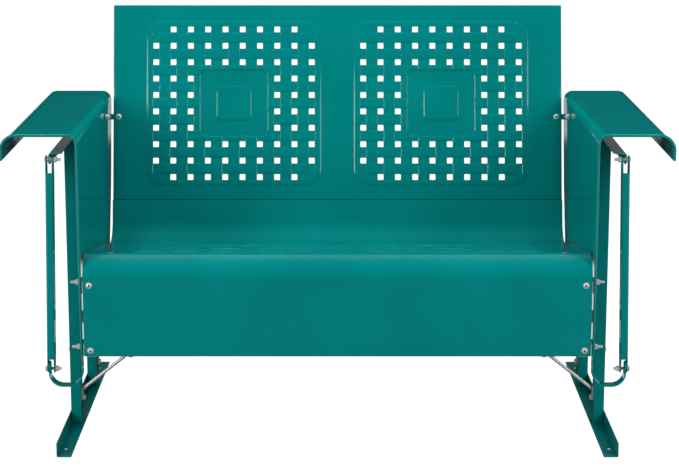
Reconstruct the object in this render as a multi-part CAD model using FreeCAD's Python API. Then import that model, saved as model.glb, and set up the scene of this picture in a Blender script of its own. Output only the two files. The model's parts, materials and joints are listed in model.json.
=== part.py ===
import FreeCAD, Part
import math
import os
from FreeCAD import Vector

# A two-seat porch glider of painted sheet steel, in millimetres.
# X runs to the right as one faces the bench, Y runs to the rear and Z is up.
# The origin is on the floor, below the middle of the base.
# The seat unit hangs from the base by four hangers, and glides forwards and backwards.

# Steel stock
sheet = 1.5
bend = 3.0

# Base: two angle rails a side, joined by two square posts
frame_outer = 550.3
frame_wall = 2.0
rail_length = 647.0
rail_width = 28.5
rail_height = 28.0
floor_hole_radius = 4.5
floor_hole_from_end = 46.5
floor_hole_inset = 12.3
top_rail_height = 603.0
top_rail_length = 630.0
top_rail_width = 24.0
top_rail_drop = 22.0
top_rail_corner = 16.0
post_size = 22.0
post_wall = 1.5
front_post_y = -111.5
rear_post_y = 146.5

# Cross bars between the posts, and the short braces under them
cross_bar_height = 159.0
cross_bar_size = 20.0
cross_bar_plug = 15.0
cross_bar_bolt_depth = 12.0
cross_bar_bolt_head = 10.5
brace_rod = 7.0
brace_strap = 14.0
brace_strap_thickness = 3.0
brace_foot_height = 56.0
brace_bend_height = 75.0
brace_reach = 90.0
brace_end_length = 24.0
brace_screw_depth = 9.0

# Hangers: channels that swing on the bolts at both ends
pivot_from_rail_end = 9.0
upper_pivot_z = 590.4
lower_pivot_z = 176.0
lower_pivot_x = 557.2
hanger_width = 14.5
hanger_wall = 2.0
hanger_depth = 24.0
hanger_tip = 8.0
hanger_taper = 34.0
hanger_web_gap_top = 24.5
hanger_web_gap_bottom = 20.5
running_clearance = 0.08
side_clearance = 0.35
spacer_radius = 5.5

# Bolts and nuts
bolt_radius = 3.0
hole_clearance = 0.1
nut_clearance = 0.05
nut_across_flats = 10.0
nut_height = 5.0
lock_nut_height = 6.5
flange_nut_height = 7.8
washer_radius = 7.0
washer_thickness = 1.2
hex_head_height = 4.0
button_radius = 6.2
button_height = 3.3
pivot_head_height = 3.0
upper_pivot_bolt_tail = 6.7
lower_pivot_bolt_tail = 4.9
strap_bolt_tail = 9.7

# Straps that carry the seat on the lower pivots
strap_thickness = 3.0
strap_width = 21.0
strap_bottom = 141.5
strap_bend = 28.0
strap_side_gap = 0.85
strap_top_above_pivot = 15.4
strap_bolt_low = 220.0
front_strap_bolt_high = 349.5
rear_strap_bolt_high = 263.5

# Seat panel: apron, rolled front edge, sloping pan and the turned-up rear
seat_half_width = 489.0
apron_ahead_of_pivot = 29.0
apron_bottom = 208.0
apron_flange = 12.0
pan_line_height_at_apron = 411.1
pan_slope = 10.3
front_roll = 45.0
rear_bend = 50.0
seam_y = 179.5
seam_above_pan_line = -0.4
seam_flange = 15.0

# Back panel
back_recline = 13.26
back_height = 425.0
back_half_width = 488.0
back_hem = 20.0
back_corner = 10.0

# Square-hole fields, the same on the seat and on the back
hole_side = 12.5
hole_corner = 1.4
hole_pitch_across = 37.65
hole_pitch_along = 35.8
holes_per_side = 10
plain_first = 3
plain_last = 6
field_centre_x = 225.5
back_field_centre = 210.5
seat_field_centre = 200.0
border_half_across = 191.0
border_half_along = 180.5
border_corner = 36.0
inner_half_across = 75.0
inner_half_along = 73.5
inner_corner = 16.0
centre_half = 38.5
centre_corner = 13.0
relief_height = 1.5

# Arms: one sheet a side, from the side panel over the arm rest to its outer drop
panel_inner_x = 494.0
arm_outer_x = 639.5
arm_top = 641.0
arm_drop_bottom = 592.0
arm_front_behind_apron = 5.5
arm_rear_y = 242.0
arm_inner_bend = 19.0
arm_outer_bend = 30.0
edge_bead = 2.75
drop_hem_thickness = 3.0
drop_hem_height = 8.0
panel_step_z = 608.0
panel_waist_y = 203.0
panel_waist_z = 442.0
panel_notch_y = 153.0
panel_notch_z = 312.0
panel_tail_start_y = 203.0
panel_tail_top = 286.0

# Brackets inside the seat unit
bracket_thickness = 2.0
bracket_height = 24.0
apron_bolt_from_edge = 12.0
apron_bolt_length = 16.0
apron_bracket_run = 25.0
apron_bracket_leg = 40.0
apron_bracket_bend = 12.0
upper_bracket_drop = 5.0
back_bracket_width = 12.0
back_bracket_run = 20.0
back_bracket_knee = 6.0
back_bolt_from_edge = 11.6
back_bolt_along = 181.0
back_bolt_length = 16.0
back_side_bolt_along = 173.7
back_side_bolt_forward = 101.0
back_side_bolt_tail = 2.2
seat_rail_leg = 25.0
seat_rail_start = 40.0
seat_rail_end = 370.0
seat_rail_bolts_at = (100.0, 310.0)
seat_rail_bolt_drop = 15.0
centre_rib_width = 40.0
centre_rib_depth = 22.0
centre_rib_start = 30.0
centre_rib_end = 375.0
seam_bolts_at = (-400.0, -200.0, 0.0, 200.0, 400.0)
seam_bolt_in = 9.0
seam_bolt_tail = 3.0

# Values worked out from the ones above
pivot_y = top_rail_length / 2 - pivot_from_rail_end
apron_front_y = -pivot_y - apron_ahead_of_pivot
arm_front_y = apron_front_y + arm_front_behind_apron
seam_z = pan_line_height_at_apron + seam_above_pan_line
frame_inner = frame_outer - frame_wall
post_x = frame_inner - post_size / 2
post_bottom = frame_wall
post_top = top_rail_height - frame_wall
upper_pivot_x = frame_outer - frame_wall / 2
hanger_length = upper_pivot_z - lower_pivot_z
hanger_lean = math.degrees(math.atan2(lower_pivot_x - upper_pivot_x, hanger_length))
panel_outer_x = panel_inner_x + sheet
strap_inner_x = panel_outer_x
strap_outer_x = lower_pivot_x + hanger_width / 2 - hanger_wall - strap_side_gap
apron_back_y = apron_front_y + sheet
panel_tail_y = button_height - apron_front_y

SIDES = (("left", -1), ("right", 1))
ENDS = (("front", -1), ("rear", 1))

os.makedirs("parts", exist_ok=True)


def save(shape, name):
    """Writes one sub-part and prints its size."""
    shape.exportStep("parts/" + name + ".step")
    print(name, len(shape.Solids), "solid(s)", round(shape.Volume), "mm3")


def group(shapes):
    """Separate solids that share one node."""
    return Part.makeCompound(shapes)


def mirrored(shape, side, end=-1):
    """A copy for the other side or the other end; shapes are made on the right, at the front."""
    result = shape.copy()
    if side < 0:
        result = result.mirror(Vector(0, 0, 0), Vector(1, 0, 0))
    if end > 0:
        result = result.mirror(Vector(0, 0, 0), Vector(0, 1, 0))
    return result


# Flat outlines with rounded corners

def in_xz(y):
    """Puts a flat point (across, up) at a depth."""
    return lambda point: Vector(point[0], y, point[1])


def in_yz(x):
    """Puts a flat point (depth, up) at a distance from the middle."""
    return lambda point: Vector(x, point[0], point[1])


def in_xy(z):
    """Puts a flat point (across, depth) at a height."""
    return lambda point: Vector(point[0], point[1], z)


def direction(start, end):
    """Unit step from one flat point to the next."""
    length = math.hypot(end[0] - start[0], end[1] - start[1])
    return ((end[0] - start[0]) / length, (end[1] - start[1]) / length)


def turn_at(before, corner, after):
    """Angle by which a path turns at a corner, positive to the left."""
    first = direction(before, corner)
    second = direction(corner, after)
    cross = first[0] * second[1] - first[1] * second[0]
    dot = first[0] * second[0] + first[1] * second[1]
    return math.atan2(cross, dot)


def corner_arc(before, corner, after, radius):
    """Start, middle and end of the arc that rounds a corner."""
    turn = turn_at(before, corner, after)
    first = direction(before, corner)
    second = direction(corner, after)
    reach = radius * math.tan(abs(turn) / 2)
    start = (corner[0] - first[0] * reach, corner[1] - first[1] * reach)
    end = (corner[0] + second[0] * reach, corner[1] + second[1] * reach)
    inward = (second[0] - first[0], second[1] - first[1])
    size = math.hypot(inward[0], inward[1])
    depth = radius / math.cos(turn / 2) - radius
    middle = (corner[0] + inward[0] / size * depth, corner[1] + inward[1] / size * depth)
    return start, middle, end


def line(place, start, end):
    """Straight edge between two flat points."""
    return Part.LineSegment(place(start), place(end)).toShape()


def path_edges(points, radii, place):
    """An open path of straight runs joined by tangent arcs."""
    edges = []
    here = points[0]
    for index in range(1, len(points) - 1):
        arc = corner_arc(points[index - 1], points[index], points[index + 1], radii[index - 1])
        edges.append(line(place, here, arc[0]))
        edges.append(Part.Arc(place(arc[0]), place(arc[1]), place(arc[2])).toShape())
        here = arc[2]
    edges.append(line(place, here, points[-1]))
    return edges


def rounded_wire(points, radii, place):
    """A closed outline; a radius of 0 leaves a corner sharp."""
    edges = []
    count = len(points)
    arcs = []
    for index in range(count):
        if radii[index] > 0:
            arcs.append(corner_arc(points[index - 1], points[index], points[(index + 1) % count],
                                   radii[index]))
        else:
            arcs.append((points[index], None, points[index]))
    for index in range(count):
        start, middle, end = arcs[index]
        if middle:
            edges.append(Part.Arc(place(start), place(middle), place(end)).toShape())
        edges.append(line(place, end, arcs[(index + 1) % count][0]))
    return Part.Wire(edges)


def plate(points, radii, place, thickness):
    """A flat plate with a rounded outline."""
    return Part.Face(rounded_wire(points, radii, place)).extrude(thickness)


def rounded_rectangle(centre, half_across, half_along, radius, place):
    """Closed rounded rectangle about a flat point."""
    points = []
    for across, along in ((-1, -1), (1, -1), (1, 1), (-1, 1)):
        points.append((centre[0] + across * half_across, centre[1] + along * half_along))
    return rounded_wire(points, [radius] * len(points), place)


def set_right(points, distance):
    """The same path, moved to the right of its own direction."""
    moved = []
    for index, point in enumerate(points):
        before = points[max(index - 1, 0)]
        after = points[min(index + 1, len(points) - 1)]
        if index == 0:
            step = direction(point, after)
            moved.append((point[0] + step[1] * distance, point[1] - step[0] * distance))
        elif index == len(points) - 1:
            step = direction(before, point)
            moved.append((point[0] + step[1] * distance, point[1] - step[0] * distance))
        else:
            first = direction(before, point)
            turn = turn_at(before, point, after)
            slide = -distance * math.tan(turn / 2)
            moved.append((point[0] + first[1] * distance - first[0] * slide,
                          point[1] - first[0] * distance - first[1] * slide))
    return moved


def bent_sheet(points, radii, thickness, place, sweep):
    """Sheet bent along a path, with its thickness to the right of the path."""
    inner = set_right(points, thickness)
    inner_radii = []
    for index in range(1, len(points) - 1):
        turn = turn_at(points[index - 1], points[index], points[index + 1])
        if turn < 0:
            inner_radii.append(radii[index - 1] - thickness)
        else:
            inner_radii.append(radii[index - 1] + thickness)
    edges = path_edges(points, radii, place)
    edges += path_edges(inner, inner_radii, place)
    edges.append(line(place, points[0], inner[0]))
    edges.append(line(place, points[-1], inner[-1]))
    wire = Part.Wire(Part.__sortEdges__(edges))
    return Part.Face(wire).extrude(sweep)


def rod_between(start, end, radius):
    """Round bar from one point to another."""
    along = end.sub(start)
    return Part.makeCylinder(radius, along.Length, start, along)


# Fasteners; each is made along a direction, from the face that its head bears on

def hex_prism(at, along, height, across_flats, turned=0.0):
    """Hexagonal block on a face."""
    corner = across_flats / math.sqrt(3)
    points = []
    for index in range(6):
        angle = math.radians(60 * index + turned)
        points.append(Vector(corner * math.cos(angle), corner * math.sin(angle), 0))
    block = Part.Face(Part.makePolygon(points + [points[0]])).extrude(Vector(0, 0, height))
    wide = Part.makeCylinder(corner + 1, height - 1.2)
    crown = Part.makeCone(corner + 0.1, across_flats / 2 - 0.3, 1.2, Vector(0, 0, height - 1.2))
    block = block.common(wide.fuse(crown))
    block.Placement = FreeCAD.Placement(at, FreeCAD.Rotation(Vector(0, 0, 1), along))
    return block


def hex_bolt(at, along, length, head_height=hex_head_height):
    """Hexagon bolt; its shank runs along, its head lies behind the face."""
    head = hex_prism(at, along.negative(), head_height, nut_across_flats)
    shank = Part.makeCylinder(bolt_radius, length, at, along)
    return head.fuse(shank)


def dome(at, outward, radius, height):
    """Round domed head on a face."""
    ball = (radius * radius + height * height) / (2 * height)
    cap = Part.makeSphere(ball, at.add(outward * (height - ball)))
    keep = Part.makeCylinder(radius, height + 1, at, outward)
    return cap.common(keep)


def socket_cut(at, outward, height, across_flats, depth):
    """Hexagon socket in the top of a domed head."""
    corner = across_flats / math.sqrt(3)
    points = []
    for index in range(6):
        angle = math.radians(60 * index)
        points.append(Vector(corner * math.cos(angle), corner * math.sin(angle), 0))
    cut = Part.Face(Part.makePolygon(points + [points[0]])).extrude(Vector(0, 0, depth + 2))
    start = at.add(outward * (height - depth))
    cut.Placement = FreeCAD.Placement(start, FreeCAD.Rotation(Vector(0, 0, 1), outward))
    return cut


def button_bolt(at, along, length, radius=button_radius, height=button_height):
    """Button-head bolt with a hexagon socket."""
    head = dome(at, along.negative(), radius, height)
    head = head.cut(socket_cut(at, along.negative(), height, 4.0, 2.0))
    shank = Part.makeCylinder(bolt_radius, length, at, along)
    return head.fuse(shank)


def nut(at, along, height=nut_height, turned=0.0):
    """Hexagon nut on a face, with its bore just clear of the bolt."""
    block = hex_prism(at, along, height, nut_across_flats, turned)
    bore = Part.makeCylinder(bolt_radius + nut_clearance, height + 2, at.sub(along), along)
    return block.cut(bore)


def flange_nut(at, along, height=flange_nut_height):
    """Nut with its own round washer face."""
    block = Part.makeCylinder(washer_radius, washer_thickness, at, along)
    block = block.fuse(hex_prism(at, along, height, nut_across_flats))
    bore = Part.makeCylinder(bolt_radius + nut_clearance, height + 2, at.sub(along), along)
    return block.cut(bore)


def bolt_hole(at, along, depth, clearance=hole_clearance):
    """Round tool for a bolt hole, centred on a point and cutting both ways."""
    start = at.sub(along * depth)
    return Part.makeCylinder(bolt_radius + clearance, 2 * depth, start, along)


ACROSS = Vector(1, 0, 0)
REARWARD = Vector(0, 1, 0)
UPWARD = Vector(0, 0, 1)

# Frames of the sloping pan and of the reclined back.
# Each has X across, its second axis along the sheet and its third out of the visible face.

pan_start_y = apron_front_y + front_roll * math.tan(math.radians(90 + pan_slope) / 2) * math.cos(
    math.radians(pan_slope))
pan_start_z = pan_line_height_at_apron - (pan_start_y - apron_front_y) * math.tan(
    math.radians(pan_slope))
pan_frame = FreeCAD.Placement(Vector(0, pan_start_y, pan_start_z),
                              FreeCAD.Rotation(ACROSS, -pan_slope))
back_frame = FreeCAD.Placement(Vector(0, seam_y, seam_z),
                               FreeCAD.Rotation(ACROSS, 90 - back_recline))


def placed(shape, frame):
    """Moves a shape from a panel's own frame into place."""
    result = shape.copy()
    result.Placement = frame.multiply(result.Placement)
    return result


def frame_point(frame, across, along, out):
    """A point of a panel's frame, in the bench's frame."""
    return frame.multVec(Vector(across, along, out))


def frame_vector(frame, across, along, out):
    """A direction of a panel's frame, in the bench's frame."""
    return frame.Rotation.multVec(Vector(across, along, out))


# Perforated fields

def field_holes(centre_along):
    """Tools for the square holes of both fields: a ten by ten grid with plain corners and centre."""
    tools = []
    last = holes_per_side - 1
    reach = 3 * sheet
    square = rounded_rectangle((0, 0), hole_side / 2, hole_side / 2, hole_corner, in_xy(-reach))
    tool = Part.Face(square).extrude(Vector(0, 0, 2 * reach))
    for side in (-1, 1):
        for column in range(holes_per_side):
            for row in range(holes_per_side):
                corner = column in (0, last) and row in (0, last)
                plain = plain_first <= column <= plain_last and plain_first <= row <= plain_last
                if corner or plain:
                    continue
                copy = tool.copy()
                copy.translate(Vector(
                    side * field_centre_x + (column - last / 2) * hole_pitch_across,
                    centre_along + (row - last / 2) * hole_pitch_along,
                    0))
                tools.append(copy)
    return tools


def pressed_pad(centre, half_across, half_along, corner, hollow=None):
    """Raised rounded area of a sheet, with an unraised one in its middle if hollow is given."""
    outline = rounded_rectangle(centre, half_across, half_along, corner, in_xy(0))
    face = Part.Face(outline)
    if hollow:
        face = face.cut(Part.Face(rounded_rectangle(centre, *hollow, in_xy(0))))
    return face.extrude(Vector(0, 0, relief_height))


def field_relief(centre_along):
    """Pressed areas of both fields: what they add on the face and take away behind it."""
    raised = []
    sunk = []
    for side in (-1, 1):
        centre = (side * field_centre_x, centre_along)
        raised.append(pressed_pad(centre, border_half_across, border_half_along, border_corner,
                                  (inner_half_across, inner_half_along, inner_corner)))
        raised.append(pressed_pad(centre, centre_half, centre_half, centre_corner))
        sunk.append(pressed_pad(centre, border_half_across - sheet, border_half_along - sheet,
                                border_corner - sheet,
                                (inner_half_across + sheet, inner_half_along + sheet,
                                 inner_corner + sheet)))
        sunk.append(pressed_pad(centre, centre_half - sheet, centre_half - sheet,
                                centre_corner - sheet))
    for pad in sunk:
        pad.translate(Vector(0, 0, -sheet))
    return raised, sunk


# Base

def floor_rail():
    """Angle rail on the floor, with its wall outside and a bolt hole near each end."""
    half = rail_length / 2
    path = [(frame_outer, rail_height), (frame_outer, 0), (frame_outer - rail_width, 0)]
    rail = bent_sheet(path, [bend], frame_wall, in_xz(-half), Vector(0, rail_length, 0))
    for end in (-1, 1):
        centre = Vector(frame_outer - floor_hole_inset, end * (half - floor_hole_from_end), -1)
        rail = rail.cut(Part.makeCylinder(floor_hole_radius, frame_wall + 2, centre))
    return rail


def top_rail():
    """Angle rail under the arm rest; the ends of its wall carry the upper pivots."""
    half = top_rail_length / 2
    path = [(frame_outer - top_rail_width, top_rail_height), (frame_outer, top_rail_height),
            (frame_outer, top_rail_height - top_rail_drop)]
    rail = bent_sheet(path, [bend], frame_wall, in_xz(-half), Vector(0, top_rail_length, 0))
    inner = frame_outer - top_rail_width
    across = [(inner, -half), (frame_outer, -half), (frame_outer, half), (inner, half)]
    keep = plate(across, [top_rail_corner, 0, 0, top_rail_corner],
                 in_xy(top_rail_height - top_rail_drop), Vector(0, 0, top_rail_drop))
    low = top_rail_height - top_rail_drop
    tip = half - pivot_y
    wall = [(-half, low), (half, low), (half, top_rail_height), (-half, top_rail_height)]
    keep = keep.common(plate(wall, [tip, tip, 0, 0], in_yz(inner), Vector(top_rail_width, 0, 0)))
    rail = rail.common(keep)
    for end in (-1, 1):
        at = Vector(upper_pivot_x, end * pivot_y, upper_pivot_z)
        rail = rail.cut(bolt_hole(at, ACROSS, frame_wall))
    return rail


def post(y):
    """Square tube between the two rails of a side."""
    low = Vector(post_x - post_size / 2, y - post_size / 2, post_bottom)
    outer = Part.makeBox(post_size, post_size, post_top - post_bottom, low)
    upright = [edge for edge in outer.Edges if abs(edge.BoundBox.ZLength) > post_size * 2]
    outer = outer.makeFillet(post_wall, upright)
    inside = post_size - 2 * post_wall
    bore = Part.makeBox(inside, inside, post_top - post_bottom,
                        low.add(Vector(post_wall, post_wall, 0)))
    tube = outer.cut(bore)
    inner = post_x - post_size / 2
    ends = [(inner, post_bottom), (frame_inner, post_bottom), (frame_inner, post_top),
            (inner, post_top)]
    corner = bend - frame_wall + hole_clearance
    tube = tube.common(plate(ends, [0, corner, corner, 0], in_xz(y - post_size / 2),
                             Vector(0, post_size, 0)))
    tube = tube.cut(bolt_hole(Vector(post_x, y, cross_bar_height), ACROSS, post_size))
    inner_wall = Vector(post_x - post_size / 2, y, brace_foot_height)
    return tube.cut(bolt_hole(inner_wall, ACROSS, 2 * post_wall))


def cross_bar(y):
    """Square tube from post to post, with plugged ends that take the bolts."""
    reach = post_x - post_size / 2
    half = cross_bar_size / 2
    outer = Part.makeBox(2 * reach, cross_bar_size, cross_bar_size,
                         Vector(-reach, y - half, cross_bar_height - half))
    hollow = cross_bar_size - 2 * post_wall
    bore = Part.makeBox(2 * (reach - cross_bar_plug), hollow, hollow,
                        Vector(cross_bar_plug - reach, y - hollow / 2,
                               cross_bar_height - hollow / 2))
    bar = outer.cut(bore)
    for side in (-1, 1):
        end = Vector(side * reach, y, cross_bar_height)
        bar = bar.cut(bolt_hole(end, ACROSS, cross_bar_plug - 1))
        under = Vector(side * brace_top_x, y, cross_bar_height - half)
        bar = bar.cut(bolt_hole(under, UPWARD, 2 * post_wall))
    return bar


def cross_bar_bolt(y):
    """Domed bolt through a post into the end of its cross bar."""
    face = Vector(frame_inner, y, cross_bar_height)
    inward = ACROSS.negative()
    head = dome(face, ACROSS, cross_bar_bolt_head / 2, button_height)
    length = post_size + cross_bar_bolt_depth
    return head.fuse(Part.makeCylinder(bolt_radius, length, face, inward))


brace_face_x = post_x - post_size / 2
brace_top_z = cross_bar_height - cross_bar_size / 2
brace_top_x = brace_face_x - brace_reach - brace_end_length / 2


def brace(y):
    """Short steel brace: flat foot on the post, round rod, flat end under the cross bar."""
    half = brace_strap / 2
    thick = brace_strap_thickness
    foot = [(y - half, brace_foot_height), (y - half, brace_bend_height + half),
            (y + half, brace_bend_height + half), (y + half, brace_foot_height)]
    lower = plate(foot, [0, half - 1, half - 1, 0], in_yz(brace_face_x - thick),
                  Vector(thick, 0, 0))
    lower = lower.fuse(Part.makeCylinder(half, thick,
                                         Vector(brace_face_x - thick, y, brace_foot_height),
                                         ACROSS))
    near = brace_face_x - brace_reach
    far = near - brace_end_length
    tongue = [(far, y - half), (near, y - half), (near, y + half), (far, y + half)]
    upper = plate(tongue, [half - 1] * 4, in_xy(brace_top_z - thick), Vector(0, 0, thick))
    start = Vector(brace_face_x - thick - 0.3, y, brace_bend_height)
    end = Vector(near - 2, y, brace_top_z - thick - 0.3)
    rod = rod_between(start, end, brace_rod / 2)
    room = Part.makeBox(brace_reach + 2 * brace_end_length, brace_strap, brace_top_z,
                        Vector(far - 1, y - half, 0))
    room = room.common(Part.makeBox(brace_face_x - far + 2, brace_strap, brace_top_z,
                                    Vector(far - 2, y - half, 0)))
    rod = rod.common(room).fuse(Part.makeSphere(brace_rod / 2, end).common(room))
    rod = rod.fuse(Part.makeSphere(brace_rod / 2, start))
    limit = Part.makeBox(brace_face_x, brace_strap, brace_top_z, Vector(0, y - half, 0))
    shape = lower.fuse(upper).fuse(rod).common(limit)
    shape = shape.cut(bolt_hole(Vector(brace_face_x, y, brace_foot_height), ACROSS, 2 * thick))
    return shape.cut(bolt_hole(Vector(brace_top_x, y, brace_top_z), UPWARD, 2 * thick))


def brace_screws(y):
    """The two screws of a brace."""
    foot = Vector(brace_face_x - brace_strap_thickness, y, brace_foot_height)
    top = Vector(brace_top_x, y, brace_top_z - brace_strap_thickness)
    return [hex_bolt(foot, ACROSS, brace_screw_depth),
            hex_bolt(top, UPWARD, brace_screw_depth)]


# Hangers

def hanger():
    """Channel with its web to the front; both ends are cut back to clevises with round tips."""
    half_width = hanger_width / 2
    half_depth = hanger_depth / 2
    tip = hanger_tip
    low = -tip
    high = hanger_length + tip
    inside = half_width - hanger_wall
    section = [(-half_width, half_depth), (-half_width, -half_depth), (half_width, -half_depth),
               (half_width, half_depth), (inside, half_depth), (inside, hanger_wall - half_depth),
               (-inside, hanger_wall - half_depth), (-inside, half_depth)]
    channel = plate(section, [0, bend, bend, 0, 0, bend - hanger_wall, bend - hanger_wall, 0],
                    in_xy(low), Vector(0, 0, high - low))
    side_view = [(-tip, low), (tip, low), (tip, 0), (half_depth, hanger_taper),
                 (half_depth, hanger_length - hanger_taper), (tip, hanger_length), (tip, high),
                 (-tip, high), (-tip, hanger_length), (-half_depth, hanger_length - hanger_taper),
                 (-half_depth, hanger_taper), (-tip, 0)]
    round_tip = tip - 0.2
    radii = [round_tip, round_tip, 0, 8, 8, 0, round_tip, round_tip, 0, 8, 8, 0]
    channel = channel.common(plate(side_view, radii, in_yz(-half_width),
                                   Vector(hanger_width, 0, 0)))
    for start, height in ((low, hanger_web_gap_bottom + tip),
                          (hanger_length - hanger_web_gap_top, hanger_web_gap_top + tip)):
        gap = Part.makeBox(2 * inside, hanger_depth, height,
                           Vector(-inside, -half_depth, start))
        channel = channel.cut(gap)
    channel.rotate(Vector(0, 0, 0), REARWARD, -hanger_lean)
    channel.translate(Vector(lower_pivot_x, -pivot_y, lower_pivot_z))
    for across, height in ((lower_pivot_x, lower_pivot_z), (upper_pivot_x, upper_pivot_z)):
        channel = channel.cut(bolt_hole(Vector(across, -pivot_y, height), ACROSS, hanger_width,
                                        running_clearance))
    return channel


def upper_pivot():
    """Bolt, nut and two spacers of an upper pivot; they stay with the base."""
    at = Vector(upper_pivot_x, -pivot_y, upper_pivot_z)
    reach = hanger_width / 2 + side_clearance
    inside = hanger_width / 2 - hanger_wall - side_clearance
    inward = ACROSS.negative()
    face = at.add(ACROSS * reach)
    nut_face = at.add(inward * reach)
    length = 2 * reach + lock_nut_height + upper_pivot_bolt_tail
    head = dome(face, ACROSS, button_radius, pivot_head_height)
    bolt = head.fuse(Part.makeCylinder(bolt_radius, length, face, inward))
    spacers = []
    for way in (ACROSS, inward):
        start = at.add(way * (frame_wall / 2))
        sleeve = Part.makeCylinder(spacer_radius, inside - frame_wall / 2, start, way)
        bore = Part.makeCylinder(bolt_radius + nut_clearance, hanger_width, start.sub(way), way)
        spacers.append(sleeve.cut(bore))
    return bolt, nut(nut_face, inward, lock_nut_height), spacers


def lower_pivot():
    """Bolt and nut of a lower pivot; they stay with the seat."""
    at = Vector(lower_pivot_x, -pivot_y, lower_pivot_z)
    reach = hanger_width / 2 + side_clearance
    inward = ACROSS.negative()
    length = 2 * reach + lock_nut_height + lower_pivot_bolt_tail
    bolt = hex_bolt(at.add(ACROSS * reach), inward, length)
    return bolt, nut(at.add(inward * reach), inward, lock_nut_height)


# Straps

def strap(bolt_high):
    """Flat bar bent into a J: up the side panel inside, up to the lower pivot outside."""
    half = strap_width / 2
    top_inner = bolt_high
    top_outer = lower_pivot_z + strap_top_above_pivot - half
    path = [(strap_outer_x, top_outer), (strap_outer_x, strap_bottom),
            (strap_inner_x, strap_bottom), (strap_inner_x, top_inner)]
    bar = bent_sheet(path, [strap_bend, strap_bend], strap_thickness,
                     in_xz(-pivot_y - half), Vector(0, strap_width, 0))
    inner_end = Part.makeCylinder(half, strap_thickness,
                                  Vector(strap_inner_x, -pivot_y, top_inner), ACROSS)
    outer_end = Part.makeCylinder(half, strap_thickness,
                                  Vector(strap_outer_x - strap_thickness, -pivot_y, top_outer),
                                  ACROSS)
    bar = bar.fuse(inner_end).fuse(outer_end)
    bar = bar.cut(bolt_hole(Vector(strap_outer_x, -pivot_y, lower_pivot_z), ACROSS,
                            2 * strap_thickness))
    for height in (strap_bolt_low, bolt_high):
        bar = bar.cut(bolt_hole(Vector(strap_inner_x, -pivot_y, height), ACROSS,
                                2 * strap_thickness))
    return bar.removeSplitter()


def strap_bolt(height, face_x):
    """Bolt and flange nut that hold a strap to the side panel."""
    face = Vector(face_x, -pivot_y, height)
    nut_face = Vector(strap_inner_x + strap_thickness, -pivot_y, height)
    length = nut_face.x - face_x + flange_nut_height + strap_bolt_tail
    return hex_bolt(face, ACROSS, length), flange_nut(nut_face, ACROSS)


# Seat panel

def seat_path():
    """Visible side of the seat sheet, from the apron's lower flange to the seam flange."""
    slope = math.tan(math.radians(pan_slope))
    lean = math.tan(math.radians(back_recline))
    fall = pan_line_height_at_apron - slope * (seam_y - apron_front_y)
    rear_z = (fall + slope * lean * seam_z) / (1 + slope * lean)
    rear_y = seam_y + (rear_z - seam_z) * lean
    rearward = (math.cos(math.radians(back_recline)), -math.sin(math.radians(back_recline)))
    return [(apron_front_y + apron_flange, apron_bottom), (apron_front_y, apron_bottom),
            (apron_front_y, pan_line_height_at_apron), (rear_y, rear_z), (seam_y, seam_z),
            (seam_y + rearward[0] * seam_flange, seam_z + rearward[1] * seam_flange)]


def seat_panel():
    """One bent sheet with two perforated fields in its pan."""
    panel = bent_sheet(seat_path(), [bend, front_roll, rear_bend, bend], sheet,
                       in_yz(-seat_half_width), Vector(2 * seat_half_width, 0, 0))
    raised, sunk = field_relief(seat_field_centre)
    panel = panel.fuse([placed(pad, pan_frame) for pad in raised])
    panel = panel.cut([placed(pad, pan_frame) for pad in sunk])
    tools = [placed(tool, pan_frame) for tool in field_holes(seat_field_centre)]
    notch = apron_bracket_run + bracket_thickness
    for side in (-1, 1):
        start = seat_half_width - notch if side > 0 else -seat_half_width
        tools.append(Part.makeBox(notch, apron_flange, bend,
                                  Vector(start, apron_back_y, apron_bottom)))
        for height in (strap_bolt_low, front_strap_bolt_high):
            at = Vector(side * apron_bolt_x, apron_front_y, height)
            tools.append(bolt_hole(at, REARWARD, 3 * sheet))
    for across in seam_bolts_at:
        tools.append(bolt_hole(frame_point(back_frame, across, 0, -seam_bolt_in),
                               frame_vector(back_frame, 0, 1, 0), 3 * sheet))
    return panel.cut(tools)


apron_bolt_x = seat_half_width - apron_bolt_from_edge
back_bolt_x = back_half_width - back_bolt_from_edge


# Back panel

def back_panel():
    """Back sheet with flanges above and below, hemmed sides and two perforated fields."""
    place = in_yz(-back_half_width)
    path = [(0, -seam_flange), (0, 0), (back_height, 0), (back_height, -seam_flange)]
    panel = bent_sheet(path, [bend, bend], sheet, place, Vector(2 * back_half_width, 0, 0))
    hem_end = back_height - seam_flange
    for side in (-1, 1):
        low_x = back_half_width - back_hem if side > 0 else -back_half_width
        hem = Part.makeBox(back_hem, hem_end - seam_flange, sheet,
                           Vector(low_x, seam_flange, -2 * sheet))
        panel = panel.fuse(hem)
    outline = [(-back_half_width, 0), (back_half_width, 0), (back_half_width, back_height),
               (-back_half_width, back_height)]
    keep = plate(outline, [0, 0, back_corner, back_corner], in_xy(-seam_flange),
                 Vector(0, 0, seam_flange))
    panel = panel.common(keep)
    raised, sunk = field_relief(back_field_centre)
    panel = panel.fuse(raised).cut(sunk)
    tools = field_holes(back_field_centre)
    for across in seam_bolts_at:
        tools.append(bolt_hole(Vector(across, 0, -seam_bolt_in), REARWARD, 3 * sheet))
    for side in (-1, 1):
        tools.append(bolt_hole(Vector(side * back_bolt_x, back_bolt_along, 0), UPWARD, 4 * sheet))
    return placed(panel.cut(tools), back_frame)


# Arms

def side_outline():
    """Side panel seen from the side, below the bend of the arm rest."""
    return [(arm_front_y, apron_bottom), (panel_tail_y, apron_bottom),
            (panel_tail_y, panel_tail_top), (panel_tail_start_y, panel_tail_top),
            (panel_notch_y, panel_notch_z), (panel_waist_y, panel_waist_z),
            (arm_rear_y, panel_step_z), (arm_front_y, panel_step_z)]


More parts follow.
